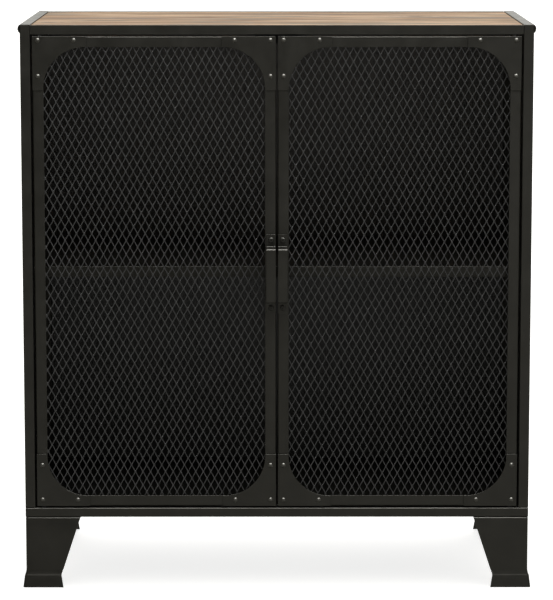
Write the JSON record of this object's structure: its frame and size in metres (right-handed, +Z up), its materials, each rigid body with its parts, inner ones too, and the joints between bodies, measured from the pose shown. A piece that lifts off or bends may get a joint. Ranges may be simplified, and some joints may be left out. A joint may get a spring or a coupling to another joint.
{
  "type": "sideboard buffet",
  "caption": "Black steel sideboard with a wood top, an inner shelf and two mesh doors that swing outwards on pivot pins, raised on flared folded feet.",
  "frame": {"origin": "on the floor, under the centre of the whole outline, handles and foot skirts included", "axes": "+Z up, +Y towards the back of the cabinet (the doors face -Y), +X to the right as seen from the front"},
  "size_m": [0.7228, 0.381, 0.8],
  "materials": {
    "black_coat": "satin black powder coat with a fine texture",
    "inner_coat": "satin black powder coat",
    "mesh_coat": "satin black powder coat on expanded metal",
    "wood_top": "rustic light brown board with dark streaks, matt",
    "black_board": "black painted fibreboard, matt",
    "plated_steel": "zinc plated",
    "black_nylon": "matt black moulding"
  },
  "bodies": {
    "cabinet": {"post_front_left": "black_coat", "post_front_right": "black_coat", "post_rear_left": "black_coat", "post_rear_right": "black_coat", "top_rail_front": "black_coat", "top_rail_rear": "black_coat", "top_rail_left": "black_coat", "top_rail_right": "black_coat", "bottom_rail_front": "black_coat", "bottom_rail_rear": "black_coat", "bottom_rail_left": "black_coat", "bottom_rail_right": "black_coat", "side_panel_left": "black_coat", "side_panel_right": "black_coat", "back_panel": "black_board", "bottom_panel": "inner_coat", "wood_top": "wood_top", "shelf": "inner_coat", "shelf_rail_left": "inner_coat", "shelf_rail_right": "inner_coat", "foot_front_left": "black_coat", "foot_front_right": "black_coat", "foot_rear_left": "black_coat", "foot_rear_right": "black_coat", "foot_bolt_front_left": "plated_steel", "foot_bolt_front_right": "plated_steel", "foot_bolt_rear_left": "plated_steel", "foot_bolt_rear_right": "plated_steel", "pivot_bush_left_top": "black_nylon", "pivot_bush_left_bottom": "black_nylon", "pivot_bush_right_top": "black_nylon", "pivot_bush_right_bottom": "black_nylon", "magnetic_catch": "black_nylon"},
    "door_left": {"door_left_frame": "black_coat", "door_left_mesh": "mesh_coat", "door_left_plate_top_outer": "black_coat", "door_left_plate_top_inner": "black_coat", "door_left_plate_bottom_outer": "black_coat", "door_left_plate_bottom_inner": "black_coat", "door_left_handle": "black_coat", "door_left_handle_screw_top": "black_coat", "door_left_handle_screw_bottom": "black_coat", "door_left_pivot_pin_top": "plated_steel", "door_left_pivot_pin_bottom": "plated_steel", "door_left_strike_plate": "plated_steel"},
    "door_right": {"door_right_frame": "black_coat", "door_right_mesh": "mesh_coat", "door_right_plate_top_outer": "black_coat", "door_right_plate_top_inner": "black_coat", "door_right_plate_bottom_outer": "black_coat", "door_right_plate_bottom_inner": "black_coat", "door_right_handle": "black_coat", "door_right_handle_screw_top": "black_coat", "door_right_handle_screw_bottom": "black_coat", "door_right_pivot_pin_top": "plated_steel", "door_right_pivot_pin_bottom": "plated_steel", "door_right_strike_plate": "plated_steel"}
  },
  "joints": [
    {"name": "door_left_hinge", "type": "hinge", "parent": "cabinet", "child": "door_left", "pos_m": [-0.33, -0.1595, 0.45075], "axis": [0, 0, -1], "range_deg": [0, 110]},
    {"name": "door_right_hinge", "type": "hinge", "parent": "cabinet", "child": "door_right", "pos_m": [0.33, -0.1595, 0.45075], "axis": [0, 0, 1], "range_deg": [0, 110]}
  ]
}
